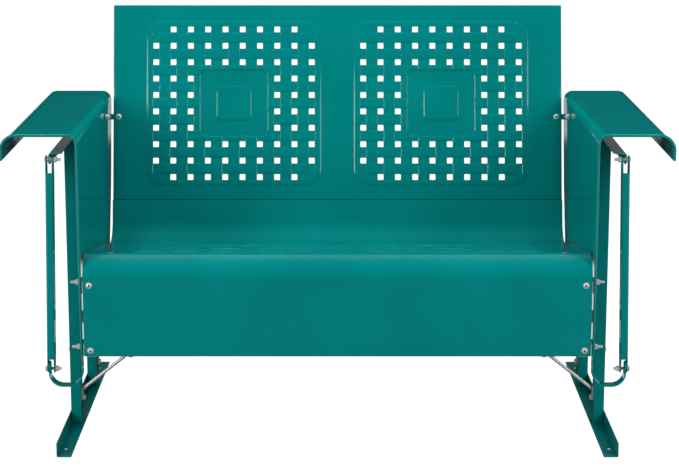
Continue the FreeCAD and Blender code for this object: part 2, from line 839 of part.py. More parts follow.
def arm():
    """Side panel and arm rest in one sheet, with a rolled front edge and a hemmed drop."""
    panel = plate(side_outline(), [0, 12, 25, 25, 22, 60, 0, 0], in_yz(panel_inner_x),
                  Vector(sheet, 0, 0))
    over = [(panel_inner_x, panel_step_z), (panel_inner_x, arm_top), (arm_outer_x, arm_top),
            (arm_outer_x, arm_drop_bottom)]
    rest = bent_sheet(over, [arm_inner_bend, arm_outer_bend], sheet, in_xz(arm_front_y),
                      Vector(0, arm_rear_y - arm_front_y, 0))
    hem = Part.makeBox(drop_hem_thickness, arm_rear_y - arm_front_y, drop_hem_height,
                       Vector(arm_outer_x - drop_hem_thickness, arm_front_y, arm_drop_bottom))
    middle = sheet / 2
    edge = [(panel_inner_x + middle, apron_bottom), (panel_inner_x + middle, arm_top - middle),
            (arm_outer_x - middle, arm_top - middle), (arm_outer_x - middle, arm_drop_bottom)]
    route = Part.Wire(path_edges(edge, [arm_inner_bend - middle, arm_outer_bend - middle],
                                 in_xz(arm_front_y)))
    circle = Part.makeCircle(edge_bead, Vector(edge[0][0], arm_front_y, edge[0][1]), UPWARD)
    bead = route.makePipeShell([Part.Wire(circle)], True, False)
    shape = panel.fuse([rest, hem, bead])
    tools = []
    for height in (strap_bolt_low, front_strap_bolt_high):
        tools.append(bolt_hole(Vector(panel_inner_x, -pivot_y, height), ACROSS, 3 * sheet))
    for height in (strap_bolt_low, rear_strap_bolt_high):
        tools.append(bolt_hole(Vector(panel_inner_x, pivot_y, height), ACROSS, 3 * sheet))
    tools.append(bolt_hole(back_side_bolt_point(panel_inner_x), ACROSS, 3 * sheet))
    for along in seat_rail_bolts_at:
        at = frame_point(pan_frame, panel_inner_x, along, -sheet - seat_rail_bolt_drop)
        tools.append(bolt_hole(at, ACROSS, 3 * sheet))
    return shape.cut(tools).removeSplitter()


def back_side_bolt_point(across):
    """Where the bolt of a back bracket goes through the side panel."""
    return frame_point(back_frame, across, back_side_bolt_along, back_side_bolt_forward)


# Brackets

def apron_bracket(height, drop=0.0):
    """Angle that joins the apron to the side panel; its wide bend passes the rolled edge."""
    low = height - drop - bracket_height / 2
    rear = apron_back_y + apron_bracket_leg
    path = [(panel_inner_x, rear), (panel_inner_x, apron_back_y),
            (seat_half_width - apron_bracket_run, apron_back_y)]
    bracket = bent_sheet(path, [apron_bracket_bend], bracket_thickness, in_xy(low),
                         Vector(0, 0, bracket_height))
    bracket = bracket.cut(bolt_hole(Vector(panel_inner_x, -pivot_y, height), ACROSS,
                                    2 * bracket_thickness))
    at = Vector(apron_bolt_x, apron_back_y, height)
    return bracket.cut(bolt_hole(at, REARWARD, 2 * bracket_thickness))


def apron_fastener(height):
    """Button-head bolt through the apron, with its nut behind the bracket."""
    face = Vector(apron_bolt_x, apron_front_y, height)
    behind = Vector(apron_bolt_x, apron_back_y + bracket_thickness, height)
    return button_bolt(face, REARWARD, apron_bolt_length), nut(behind, REARWARD, turned=30.0)


def back_bracket():
    """Strap bolted behind the back's hem; it runs forward along the side panel."""
    behind = -2 * sheet
    half = back_bracket_width / 2
    low = back_bolt_along - half
    run = back_half_width - back_bracket_run
    path = [(panel_inner_x, back_bracket_knee), (panel_inner_x, behind - bracket_thickness),
            (run, behind - bracket_thickness)]
    place = lambda point: Vector(point[0], low, point[1])
    bracket = bent_sheet(path, [bend], bracket_thickness, place,
                         Vector(0, back_bracket_width, 0))
    face = panel_inner_x - bracket_thickness
    leg = [(low, back_bracket_knee), (low + back_bracket_width, back_bracket_knee),
           (back_side_bolt_along + half, back_side_bolt_forward),
           (back_side_bolt_along - half, back_side_bolt_forward)]
    thick = Vector(bracket_thickness, 0, 0)
    hole = Vector(face, back_side_bolt_along, back_side_bolt_forward)
    bracket = bracket.fuse([plate(leg, [0, 0, 0, 0], in_yz(face), thick),
                            Part.makeCylinder(half, bracket_thickness, hole, ACROSS)])
    bracket = bracket.cut(bolt_hole(hole, ACROSS, 2 * bracket_thickness))
    at = Vector(back_bolt_x, back_bolt_along, behind)
    bracket = bracket.cut(bolt_hole(at, UPWARD, 2 * bracket_thickness))
    return placed(bracket.removeSplitter(), back_frame)


def back_fasteners():
    """The two button-head bolts of a back bracket and their nuts."""
    into_back = frame_vector(back_frame, 0, 0, -1)
    front_face = frame_point(back_frame, back_bolt_x, back_bolt_along, 0)
    rear_face = frame_point(back_frame, back_bolt_x, back_bolt_along,
                            -2 * sheet - bracket_thickness)
    inward = ACROSS.negative()
    outer_face = back_side_bolt_point(panel_outer_x)
    inner_face = back_side_bolt_point(panel_inner_x - bracket_thickness)
    length = sheet + bracket_thickness + lock_nut_height + back_side_bolt_tail
    bolts = [button_bolt(front_face, into_back, back_bolt_length),
             button_bolt(outer_face, inward, length)]
    return bolts, [nut(rear_face, into_back), nut(inner_face, inward, lock_nut_height)]


def seat_rail():
    """Angle under the edge of the pan, bolted to the side panel."""
    top = -sheet
    path = [(panel_inner_x - seat_rail_leg, top), (panel_inner_x, top),
            (panel_inner_x, top - seat_rail_leg)]
    place = lambda point: Vector(point[0], seat_rail_start, point[1])
    rail = bent_sheet(path, [bend], bracket_thickness, place,
                      Vector(0, seat_rail_end - seat_rail_start, 0))
    for along in seat_rail_bolts_at:
        at = Vector(panel_inner_x, along, top - seat_rail_bolt_drop)
        rail = rail.cut(bolt_hole(at, ACROSS, 2 * bracket_thickness))
    return placed(rail, pan_frame)


def seat_rail_fasteners():
    """Bolts and nuts of one seat rail."""
    bolts = []
    nuts = []
    for along in seat_rail_bolts_at:
        face = frame_point(pan_frame, panel_inner_x - bracket_thickness, along,
                           -sheet - seat_rail_bolt_drop)
        outer = frame_point(pan_frame, panel_outer_x, along, -sheet - seat_rail_bolt_drop)
        bolts.append(hex_bolt(face, ACROSS, bracket_thickness + sheet + nut_height + 3))
        nuts.append(nut(outer, ACROSS))
    return bolts, nuts


def centre_rib():
    """Folded channel under the middle of the pan, between the two fields."""
    half = centre_rib_width / 2
    path = [(-half, -sheet - centre_rib_depth), (-half, -sheet), (half, -sheet),
            (half, -sheet - centre_rib_depth)]
    place = lambda point: Vector(point[0], centre_rib_start, point[1])
    rib = bent_sheet(path, [bend, bend], sheet, place,
                     Vector(0, centre_rib_end - centre_rib_start, 0))
    return placed(rib, pan_frame)


def seam_fastener(across):
    """Bolt and nut behind the seam between the seat and the back."""
    down = frame_vector(back_frame, 0, -1, 0)
    top = frame_point(back_frame, across, sheet, -seam_bolt_in)
    under = frame_point(back_frame, across, -sheet, -seam_bolt_in)
    length = 2 * sheet + nut_height + seam_bolt_tail
    return hex_bolt(top, down, length), nut(under, down)


# Sub-parts of the base
for side_name, side in SIDES:
    save(mirrored(floor_rail(), side), side_name + "_floor_rail")
    save(mirrored(top_rail(), side), side_name + "_top_rail")
    save(mirrored(post(front_post_y), side), side_name + "_front_post")
    save(mirrored(post(rear_post_y), side), side_name + "_rear_post")
    save(mirrored(brace(front_post_y), side), side_name + "_front_brace")
    save(mirrored(brace(rear_post_y), side), side_name + "_rear_brace")
save(cross_bar(front_post_y), "front_cross_bar")
save(cross_bar(rear_post_y), "rear_cross_bar")

cross_bar_bolts = []
all_brace_screws = []
for side_name, side in SIDES:
    for post_y in (front_post_y, rear_post_y):
        cross_bar_bolts.append(mirrored(cross_bar_bolt(post_y), side))
        all_brace_screws += [mirrored(screw, side) for screw in brace_screws(post_y)]
save(group(cross_bar_bolts), "cross_bar_bolts")
save(group(all_brace_screws), "brace_screws")

# Hangers, straps and what they turn on
upper_bolts = []
upper_nuts = []
upper_spacers = []
lower_bolts = []
lower_nuts = []
strap_bolts = []
strap_nuts = []
for side_name, side in SIDES:
    for end_name, end in ENDS:
        name = side_name + "_" + end_name
        save(mirrored(hanger(), side, end), name + "_hanger")
        bolt_high = front_strap_bolt_high if end < 0 else rear_strap_bolt_high
        save(mirrored(strap(bolt_high), side, end), name + "_strap")
        bolt, bolt_nut, spacers = upper_pivot()
        upper_bolts.append(mirrored(bolt, side, end))
        upper_nuts.append(mirrored(bolt_nut, side, end))
        upper_spacers += [mirrored(spacer, side, end) for spacer in spacers]
        bolt, bolt_nut = lower_pivot()
        lower_bolts.append(mirrored(bolt, side, end))
        lower_nuts.append(mirrored(bolt_nut, side, end))
        face_x = panel_inner_x - bracket_thickness if end < 0 else panel_inner_x
        for height in (strap_bolt_low, bolt_high):
            bolt, bolt_nut = strap_bolt(height, face_x)
            strap_bolts.append(mirrored(bolt, side, end))
            strap_nuts.append(mirrored(bolt_nut, side, end))
save(group(upper_bolts), "upper_pivot_bolts")
save(group(upper_nuts), "upper_pivot_nuts")
save(group(upper_spacers), "upper_pivot_spacers")
save(group(lower_bolts), "lower_pivot_bolts")
save(group(lower_nuts), "lower_pivot_nuts")
save(group(strap_bolts), "strap_bolts")
save(group(strap_nuts), "strap_nuts")

# Sheets of the seat unit
save(seat_panel(), "seat_panel")
save(back_panel(), "back_panel")
save(centre_rib(), "seat_centre_rib")

apron_brackets = []
apron_bolts = []
apron_nuts = []
back_brackets = []
back_bolts = []
back_nuts = []
rail_bolts = []
rail_nuts = []
for side_name, side in SIDES:
    save(mirrored(arm(), side), side_name + "_arm")
    save(mirrored(seat_rail(), side), side_name + "_seat_rail")
    for height, drop in ((strap_bolt_low, 0.0), (front_strap_bolt_high, upper_bracket_drop)):
        apron_brackets.append(mirrored(apron_bracket(height, drop), side))
        bolt, bolt_nut = apron_fastener(height)
        apron_bolts.append(mirrored(bolt, side))
        apron_nuts.append(mirrored(bolt_nut, side))
    back_brackets.append(mirrored(back_bracket(), side))
    bolts, nuts = back_fasteners()
    back_bolts += [mirrored(bolt, side) for bolt in bolts]
    back_nuts += [mirrored(bolt_nut, side) for bolt_nut in nuts]
    bolts, nuts = seat_rail_fasteners()
    rail_bolts += [mirrored(bolt, side) for bolt in bolts]
    rail_nuts += [mirrored(bolt_nut, side) for bolt_nut in nuts]
save(group(apron_brackets), "apron_brackets")
save(group(apron_bolts), "apron_bolts")
save(group(apron_nuts), "apron_nuts")
save(group(back_brackets), "back_brackets")
save(group(back_bolts), "back_bracket_bolts")
save(group(back_nuts), "back_bracket_nuts")
save(group(rail_bolts), "seat_rail_bolts")
save(group(rail_nuts), "seat_rail_nuts")

seam_bolts = []
seam_nuts = []
for across in seam_bolts_at:
    bolt, bolt_nut = seam_fastener(across)
    seam_bolts.append(bolt)
    seam_nuts.append(bolt_nut)
save(group(seam_bolts), "seam_bolts")
save(group(seam_nuts), "seam_nuts")
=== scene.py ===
# %% [markdown]
# # A porch glider of painted sheet steel
# The bench has a base that stands still and a seat unit that glides on four hangers. The CAD
# model gives every piece in its true place and size. This notebook paints those pieces,
# remakes the two pierced sheets with their pressed basket weave, and sets up a plain studio
# with the camera of the reference view.

# %% Load the frame
import json
import math
import bmesh
import bpy
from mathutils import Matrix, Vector


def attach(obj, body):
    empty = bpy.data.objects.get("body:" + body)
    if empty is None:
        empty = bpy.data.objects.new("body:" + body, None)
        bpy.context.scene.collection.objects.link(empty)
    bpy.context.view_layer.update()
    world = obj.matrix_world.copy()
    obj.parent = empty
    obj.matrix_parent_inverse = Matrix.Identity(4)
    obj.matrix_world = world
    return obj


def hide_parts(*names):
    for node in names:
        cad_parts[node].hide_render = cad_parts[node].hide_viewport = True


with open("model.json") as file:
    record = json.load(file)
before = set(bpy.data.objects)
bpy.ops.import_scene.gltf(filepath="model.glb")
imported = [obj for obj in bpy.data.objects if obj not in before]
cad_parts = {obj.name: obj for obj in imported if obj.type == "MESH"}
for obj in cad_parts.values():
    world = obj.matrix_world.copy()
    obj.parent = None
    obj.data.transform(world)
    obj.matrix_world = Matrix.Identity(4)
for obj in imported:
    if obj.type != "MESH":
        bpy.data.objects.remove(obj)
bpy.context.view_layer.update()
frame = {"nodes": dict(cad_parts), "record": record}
nodes = frame["nodes"]
print("CAD nodes:", len(nodes))

# %% [markdown]
# ## Shader maths as plain expressions
# A shader is a graph of small nodes. It could be drawn by hand in the editor or written node
# by node, but both soon get long. So a small class wraps a socket: adding, subtracting or
# multiplying two wrapped sockets adds the matching Math node and wraps what comes out of it.

# %% Wrapped sockets
class Value:
    """A socket of a shader, for use in ordinary expressions."""

    def __init__(self, graph, socket):
        self.graph = graph
        self.socket = socket

    def math(self, operation, *others):
        return self.graph.node("ShaderNodeMath", {"operation": operation}, [self, *others])

    def __add__(self, other):
        return self.math("ADD", other)

    __radd__ = __add__

    def __sub__(self, other):
        return self.math("SUBTRACT", other)

    def __rsub__(self, other):
        return self.graph.node("ShaderNodeMath", {"operation": "SUBTRACT"}, [other, self])

    def __mul__(self, other):
        return self.math("MULTIPLY", other)

    __rmul__ = __mul__

    def soft_step(self, low, high):
        """0 below low, 1 above high and a smooth ramp in between."""
        settings = {"interpolation_type": "SMOOTHSTEP"}
        return self.graph.node("ShaderNodeMapRange", settings, {"Value": self, "From Min": low,
                                                               "From Max": high})


print("a wrapped socket knows +, - and *, also with a number in front")

# %% [markdown]
# ### The graph
# A second class holds the graph of one material or of the world. A single method adds every
# node, whatever its type, so there is one way to learn and one place to look for a mistake.

# %% Shader graph
class Graph:
    """The node tree of a material or a world, with one method that adds any node."""

    def __init__(self, owner, output="ShaderNodeOutputMaterial"):
        self.owner = owner
        self.owner.use_nodes = True
        self.tree = self.owner.node_tree
        self.tree.nodes.clear()
        self.output = self.tree.nodes.new(output)

    def node(self, kind, settings=None, values=None, out=0):
        """Adds a node: first its settings, then its sockets' values or links."""
        made = self.tree.nodes.new(kind)
        for key, value in (settings or {}).items():
            setattr(made, key, value)
        pairs = values.items() if isinstance(values, dict) else enumerate(values or [])
        for key, value in pairs:
            if isinstance(value, Value):
                self.tree.links.new(value.socket, made.inputs[key])
            else:
                made.inputs[key].default_value = value
        return Value(self, made.outputs[out])

    def mix(self, factor, first, second):
        """Blends two colours. A Mix node keeps its colours in the sockets 6 and 7."""
        settings = {"data_type": "RGBA"}
        return self.node("ShaderNodeMix", settings, {0: factor, 6: first, 7: second}, out=2)

    def surface(self, shader):
        """Sends a shader to the surface output and returns the finished material or world."""
        self.tree.links.new(shader.socket, self.output.inputs["Surface"])
        return self.owner


print("materials before the first one is made:", len(bpy.data.materials))

# %% [markdown]
# ## Colours
# Screen colours are curved, while a render works in linear light. A colour could be typed in
# linear numbers, but those are hard to judge by eye, so it is picked as a screen colour and
# turned into linear light here. The numbers are those of the usual screen curve.

# %% Colour helper
def linear(red, green, blue):
    """A screen colour of 0 to 255 a channel, in linear light."""
    channels = []
    for level in (red, green, blue):
        level = level / 255
        channels.append(level / 12.92 if level <= 0.04045 else ((level + 0.055) / 1.055) ** 2.4)
    return (*channels, 1.0)


print("a middle grey in linear light:", round(linear(128, 128, 128)[0], 3))

# %% [markdown]
# ## Teal powder coat
# Powder coat melts on the steel and sets to a glossy skin that is almost flat, with a very
# fine orange-peel ripple. A picture of paint could be laid over the sheets, but it would
# stretch on them and need unfolding; noise in the object's own space needs neither. A clear
# coat layer gives the sharp reflection, a slow noise makes tone and gloss slightly uneven,
# and inside corners get painted shade: ambient occlusion mixes a darker teal into them.

# %% Paint material
PAINT = linear(0, 131, 129)
PAINT_LIGHTER = linear(0, 137, 135)
# The darkest teal is painted shade, used in inside corners.
PAINT_CORNER_SHADE = linear(0, 100, 98)
CORNER_SHADE_REACH = 0.03
PEEL_SCALE = 420.0
PEEL_DEPTH = 0.0004
CLOUD_SCALE = 6.0


def powder_coat():
    graph = Graph(bpy.data.materials.new("teal_powder_coat"))
    place = graph.node("ShaderNodeTexCoord", out="Object")
    peel = graph.node("ShaderNodeTexNoise", {}, {"Vector": place, "Scale": PEEL_SCALE,
                                                 "Detail": 2.0})
    cloud = graph.node("ShaderNodeTexNoise", {}, {"Vector": place, "Scale": CLOUD_SCALE,
                                                  "Detail": 3.0})
    # Painted shade: ambient occlusion mixes the darker teal into the colour of inside corners.
    corner = graph.node("ShaderNodeAmbientOcclusion", {"samples": 4, "only_local": False},
                        {"Distance": CORNER_SHADE_REACH}, out="AO")
    body = graph.mix(cloud.soft_step(0.35, 0.7), PAINT, PAINT_LIGHTER)
    colour = graph.mix(corner.soft_step(0.0, 0.75), PAINT_CORNER_SHADE, body)
    bump = graph.node("ShaderNodeBump", {}, {"Strength": 0.05, "Distance": PEEL_DEPTH,
                                             "Height": peel})
    shader = graph.node("ShaderNodeBsdfPrincipled", {}, {
        "Base Color": colour,
        "Roughness": 0.38 + cloud * 0.06,
        "Specular IOR Level": 0.02,
        "Coat Weight": 0.9,
        "Coat Roughness": 0.05,
        "Normal": bump,
    })
    return graph.surface(shader)


teal = powder_coat()
print("made", teal.name)

# %% [markdown]
# ## Zinc-plated steel
# Bolts, nuts and braces are zinc plated: pale, satin and slightly spotted. A shader that is
# all metal only mirrors its surroundings and would turn dark in this studio, so most of the
# brightness comes from a pale plain surface with some metal in it. The button heads have a
# hexagon socket. Ambient occlusion with a reach of a few millimetres finds it and paints
# shade into it: the colour there turns dark.

# %% Zinc material
ZINC = linear(226, 226, 222)
ZINC_BRIGHT = linear(240, 240, 237)
# This dark colour is painted shade, used inside the hexagon sockets.
ZINC_SOCKET_SHADE = linear(58, 50, 46)
SOCKET_SHADE_REACH = 0.004
GRAIN_SCALE = 260.0
GRAIN_DEPTH = 0.0002
SPOT_SCALE = 40.0


def zinc_plate():
    graph = Graph(bpy.data.materials.new("zinc_plate"))
    place = graph.node("ShaderNodeTexCoord", out="Object")
    grain = graph.node("ShaderNodeTexNoise", {}, {"Vector": place, "Scale": GRAIN_SCALE,
                                                  "Detail": 3.0})
    spots = graph.node("ShaderNodeTexNoise", {}, {"Vector": place, "Scale": SPOT_SCALE,
                                                  "Detail": 4.0})
    # Painted shade: ambient occlusion turns the colour in the hexagon sockets dark.
    socket_shade = graph.node("ShaderNodeAmbientOcclusion", {"samples": 8, "only_local": True},
                        {"Distance": SOCKET_SHADE_REACH}, out="AO")
    plain = graph.mix(spots.soft_step(0.3, 0.75), ZINC, ZINC_BRIGHT)
    colour = graph.mix(socket_shade.soft_step(0.45, 0.8), ZINC_SOCKET_SHADE, plain)
    bump = graph.node("ShaderNodeBump", {}, {"Strength": 0.08, "Distance": GRAIN_DEPTH,
                                             "Height": grain})
    shader = graph.node("ShaderNodeBsdfPrincipled", {}, {
        "Base Color": colour,
        "Metallic": 0.3,
        "Roughness": 0.2 + grain * 0.16,
        "Normal": bump,
    })
    return graph.surface(shader)


zinc = zinc_plate()
print("made", zinc.name)

# %% [markdown]
# ## Nylon
# The spacers beside the upper pivots are turned from white nylon, a rather matt plastic. It
# lets a little light in, which a subsurface shader could show, but the spacers are small and
# half hidden, so a pale colour with a faint cloudiness is enough.

# %% Nylon material
NYLON = linear(224, 222, 212)
NYLON_LIGHTER = linear(238, 237, 230)
NYLON_CLOUD_SCALE = 90.0


def nylon():
    graph = Graph(bpy.data.materials.new("white_nylon"))
    place = graph.node("ShaderNodeTexCoord", out="Object")
    cloud = graph.node("ShaderNodeTexNoise", {}, {"Vector": place, "Scale": NYLON_CLOUD_SCALE})
    colour = graph.mix(cloud, NYLON, NYLON_LIGHTER)
    shader = graph.node("ShaderNodeBsdfPrincipled", {}, {"Base Color": colour,
                                                         "Roughness": 0.55})
    return graph.surface(shader)


white_nylon = nylon()
print("made", white_nylon.name)

# %% [markdown]
# ## Paint the CAD pieces
# Each CAD piece takes the material that its record slot names. A list of pieces could be
# typed here instead, but it would be wrong as soon as the CAD model gets one more bolt.

# %% Assign materials
LOOKS = {"teal_paint": teal, "zinc_plated_steel": zinc, "nylon": white_nylon}
slots = {part["node"]: part["material_slot"] for part in frame["record"]["subparts"]}
for name, node in nodes.items():
    node.data.materials.clear()
    node.data.materials.append(LOOKS[slots[name]])
print("painted", len(nodes), "pieces")

# %% [markdown]
# ## Pierced sheets
# The seat and the back are each one steel sheet with two fields of punched square holes.
# Boolean cuts could make the holes, but hundreds of them are slow and leave faces that shade
# badly. So the sheet is drawn as a net of lines: some across the bench, some along the
# sheet's own bent path. Every crossing becomes a vertex, lifted off the path by the height of
# the pressed pattern there, and the squares of the net that fall in a hole are left out. A
# second net behind the first gives the sheet its thickness, and walls join the two round
# every edge. Sizes are in millimetres until a point is placed.

# %% Holes of a field
MM = 0.001
SHEET = 1.5
FIELD_X = 225.5
HOLES = 10
PITCH_ACROSS = 37.65
PITCH_ALONG = 35.8
HOLE_HALF = 6.25
HOLE_ROUND = 1.4
PLAIN_ROWS = range(3, 7)


def hole_near(u, v):
    """The hole of a field that a point is nearest to, as offsets, or None if it has none."""
    column = round(u / PITCH_ACROSS + (HOLES - 1) / 2)
    row = round((HOLES - 1) / 2 - v / PITCH_ALONG)
    if not (0 <= column < HOLES and 0 <= row < HOLES):
        return None
    last = HOLES - 1
    if column in (0, last) and row in (0, last):
        return None
    if column in PLAIN_ROWS and row in PLAIN_ROWS:
        return None
    middle_u = (column - last / 2) * PITCH_ACROSS
    middle_v = (last / 2 - row) * PITCH_ALONG
    return u - middle_u, v - middle_v


print("holes in a field:", HOLES ** 2 - 4 - len(PLAIN_ROWS) ** 2)

# %% [markdown]
# ### Ramps and rounded rectangles
# The press leaves soft steps with rounded corners. Two small functions describe them all: a
# smooth ramp, and how deep a point lies inside a rounded rectangle.

# %% Pressed shapes
def smooth(value, low, high):
    """0 below low, 1 above high and a smooth ramp in between."""
    t = min(max((value - low) / (high - low), 0.0), 1.0)
    return t * t * (3 - 2 * t)


def depth_inside(u, v, half_u, half_v, round_radius):
    """How far a point lies inside a rounded rectangle; negative outside."""
    du = abs(u) - half_u + round_radius
    dv = abs(v) - half_v + round_radius
    outside = math.hypot(max(du, 0.0), max(dv, 0.0))
    return round_radius - outside - min(max(du, dv), 0.0)


print("depth at the centre of a 10 mm square:", depth_inside(0, 0, 5, 5, 1), "mm")

# %% [markdown]
# ### The basket weave
# Bands run between the rows and between the columns of holes. At each crossing one band
# passes over the other, and the next crossing is the other way round. Real strips could be
# woven as separate meshes, but the pattern is pressed into one sheet, so a height is enough:
# along a band it is a cosine with its crest at one crossing and its trough at the next.

# %% Weave height
WEAVE_RISE = 0.7
WEAVE_STEP = 1.8


def weave(u, v):
    """Height of the woven bands, for a point measured from the field's centre."""
    column = u / PITCH_ACROSS + (HOLES - 1) / 2
    row = (HOLES - 1) / 2 - v / PITCH_ALONG
    from_column = (column - round(column)) * PITCH_ACROSS
    from_row = (row - round(row)) * PITCH_ALONG
    upright = -math.cos(math.pi * (row - 0.5 - math.floor(column)))
    level = math.cos(math.pi * (column - 0.5 - math.floor(row)))
    if abs(from_column) <= HOLE_HALF:
        if abs(from_row) <= HOLE_HALF:
            return 0.0
        return WEAVE_RISE * level
    if abs(from_row) <= HOLE_HALF:
        return WEAVE_RISE * upright
    past_column = smooth(abs(from_column) - HOLE_HALF, 0.0, WEAVE_STEP)
    past_row = smooth(abs(from_row) - HOLE_HALF, 0.0, WEAVE_STEP)
    if (math.floor(column) + math.floor(row)) % 2:
        share = 1 - (1 - past_column) * past_row
        return WEAVE_RISE * (level + (upright - level) * share)
    share = 1 - (1 - past_row) * past_column
    return WEAVE_RISE * (upright + (level - upright) * share)


print("heights from one crossing to the next:",
      [round(weave(0.0, PITCH_ALONG * eighth / 8), 2) for eighth in range(9)])

# %% [markdown]
# ### The whole pattern
# Each field has a raised border. In its middle a square without holes is left low, and a
# smaller raised square sits in that. All three could be modelled as separate pads, but as
# heights they simply add up, and the weave fades out where they begin.

# %% Height of the pattern
FIELD_HALF_ACROSS = 191.0
FIELD_HALF_ALONG = 180.5
FIELD_ROUND = 36.0
FIELD_RISE = 1.5
FIELD_RAMP = 4.5
INNER_HALF_ACROSS = 75.0
INNER_HALF_ALONG = 73.5
INNER_ROUND = 16.0
INNER_RAMP = 3.0
CENTRE_HALF = 38.5
CENTRE_ROUND = 13.0
CENTRE_RISE = 1.5
CENTRE_RAMP = 3.0
WEAVE_STARTS = 5.0
WEAVE_FULL = 10.0
WEAVE_FADE = 1.0


def field_height(u, v):
    """Height of the whole pressed pattern of one field."""
    border = depth_inside(u, v, FIELD_HALF_ACROSS, FIELD_HALF_ALONG, FIELD_ROUND)
    if border <= 0:
        return 0.0
    inner = depth_inside(u, v, INNER_HALF_ACROSS, INNER_HALF_ALONG, INNER_ROUND)
    centre = depth_inside(u, v, CENTRE_HALF, CENTRE_HALF, CENTRE_ROUND)
    lifted = FIELD_RISE * smooth(border, 0.0, FIELD_RAMP) * (1 - smooth(inner, 0.0, INNER_RAMP))
    woven = weave(u, v) * smooth(border, WEAVE_STARTS, WEAVE_FULL)
    woven = woven * (1 - smooth(inner, -WEAVE_FADE, WEAVE_FADE))
    return lifted + woven + CENTRE_RISE * smooth(centre, 0.0, CENTRE_RAMP)


print("height at the middle of a field:", field_height(0.0, 0.0), "mm")

# %% [markdown]
# ### Lines of the net
# An even grid fine enough for the pattern would need millions of faces. The net has close
# lines only where the pattern is steep: at the sides of the holes, on the border, round the
# inner square and on the centre square. Elsewhere a few are enough.

# %% Net lines
HOLE_QUARTER = 3.5
BAND_MIDDLE = 4.0
RAMP_STEPS = range(-1, 5)
STEPS_IN_RAMP = 3
CORNER_ANGLES = (20, 40, 60, 80)


def cell_lines(centre, pitch, start, end):
    """Lines near the holes of one field, measured along one direction."""
    lines = []
    marks = (0.0, HOLE_QUARTER, HOLE_HALF - HOLE_ROUND, HOLE_HALF, HOLE_HALF + WEAVE_STEP / 3,
             HOLE_HALF + WEAVE_STEP * 2 / 3, HOLE_HALF + WEAVE_STEP, pitch / 2 - BAND_MIDDLE,
             pitch / 2)
    for hole in range(HOLES):
        middle = centre + (hole - (HOLES - 1) / 2) * pitch
        for mark in marks:
            lines.append(middle - mark)
            lines.append(middle + mark)
    return [line for line in lines if start < line < end]


def rounded_lines(centre, half, corner, ramp):
    """Lines for a pressed rounded square: across its edge and round its corners."""
    lines = []
    for side in (-1, 1):
        for step in RAMP_STEPS:
            lines.append(centre + side * (half - ramp * step / STEPS_IN_RAMP))
        for angle in CORNER_ANGLES:
            lines.append(centre + side * (half - corner * (1 - math.sin(math.radians(angle)))))
    return lines


def field_lines(centre, pitch, half, inner_half):
    """All the lines that one field needs along one direction."""
    lines = cell_lines(centre, pitch, centre - half, centre + half)
    lines += rounded_lines(centre, half, FIELD_ROUND, FIELD_RAMP)
    lines += rounded_lines(centre, inner_half, INNER_ROUND, INNER_RAMP)
    lines += rounded_lines(centre, CENTRE_HALF, CENTRE_ROUND, CENTRE_RAMP)
    return lines


def thinned(lines, kept, low, high, closest):
    """Sorted lines without near doubles; lines in kept always stay."""
    kept = sorted(set(round(line, 4) for line in kept))
    result = list(kept)
    for line in sorted(set(round(line, 4) for line in lines)):
        if low < line < high and min(abs(line - other) for other in result) >= closest:
            result.append(line)
    return sorted(result)


print("lines across one field, before near doubles go:",
      len(field_lines(0.0, PITCH_ACROSS, FIELD_HALF_ACROSS, INNER_HALF_ACROSS)))

# %% [markdown]
# ### The bent path
# A press brake bends the flat sheet along straight lines, so its side view is a path of
# straight runs and arcs, the same as in the CAD model. A Blender curve could hold it, but
# the net needs a place for any distance along the sheet, and the direction square to it. A
# short class works these out exactly.

# %% Path of a sheet
NEARLY = 1e-6
ARC_STEP = math.radians(7)
RUN_STEP = 40


class Path:
    """Side view of a bent sheet; its visible side is to the left of the path."""

    def __init__(self, points, radii):
        self.pieces = []
        self.length = 0.0
        here = Vector(points[0])
        for index in range(1, len(points) - 1):
            corner = Vector(points[index])
            first = (corner - Vector(points[index - 1])).normalized()
            second = (Vector(points[index + 1]) - corner).normalized()
            turn = math.atan2(first.x * second.y - first.y * second.x, first.dot(second))
            reach = radii[index - 1] * math.tan(abs(turn) / 2)
            self.add_line(here, corner - first * reach)
            self.add_arc(corner - first * reach, first, turn, radii[index - 1])
            here = corner + second * reach
        self.add_line(here, Vector(points[-1]))

    def add_line(self, start, end):
        length = (end - start).length
        self.pieces.append(("line", self.length, length, start, (end - start).normalized(), 0, 0))
        self.length += length

    def add_arc(self, start, heading, turn, radius):
        length = abs(turn) * radius
        self.pieces.append(("arc", self.length, length, start, heading, turn, radius))
        self.length += length

    def at(self, distance):
        """Place and outward direction at a distance along the path."""
        for kind, begin, length, start, heading, turn, radius in self.pieces:
            if distance <= begin + length + NEARLY:
                break
        run = min(max(distance - begin, 0.0), length)
        if kind == "line":
            place = start + heading * run
            direction = heading
        else:
            angle = turn * run / length
            side = 1 if turn > 0 else -1
            normal = Vector((-heading.y, heading.x)) * side
            centre = start + normal * radius
            arm = start - centre
            cosine = math.cos(angle)
            sine = math.sin(angle)
            place = centre + Vector((arm.x * cosine - arm.y * sine, arm.x * sine + arm.y * cosine))
            direction = Vector((heading.x * cosine - heading.y * sine,
                                heading.x * sine + heading.y * cosine))
        return place, Vector((-direction.y, direction.x))

    def lines(self):
        """Distances that follow the arcs closely and the straight runs loosely."""
        marks = []
        for kind, begin, length, start, heading, turn, radius in self.pieces:
            if kind == "arc":
                steps = max(int(abs(turn) / ARC_STEP), 2)
            else:
                steps = max(int(length / RUN_STEP), 1)
            marks += [begin + length * step / steps for step in range(steps + 1)]
        return marks


print("a 20 mm strip with one square bend is", round(
    Path([(0, 0), (10, 0), (10, 10)], [3]).length, 2), "mm long on its path")

# %% [markdown]
# ### Rims of the holes
# A punch leaves small rounds in the corners of a hole and rolls its edge in a little. Square
# holes with a Bevel modifier could show that, at the cost of many faces. Here the net's own
# vertices do it: those at a hole's corners are pulled inwards and those on its rim sink.

# %% Crossings of the net
EDGE_ROLL = 0.45
CORNER_PULL = HOLE_ROUND * (1 - math.sqrt(0.5))
TOUCH = 0.01


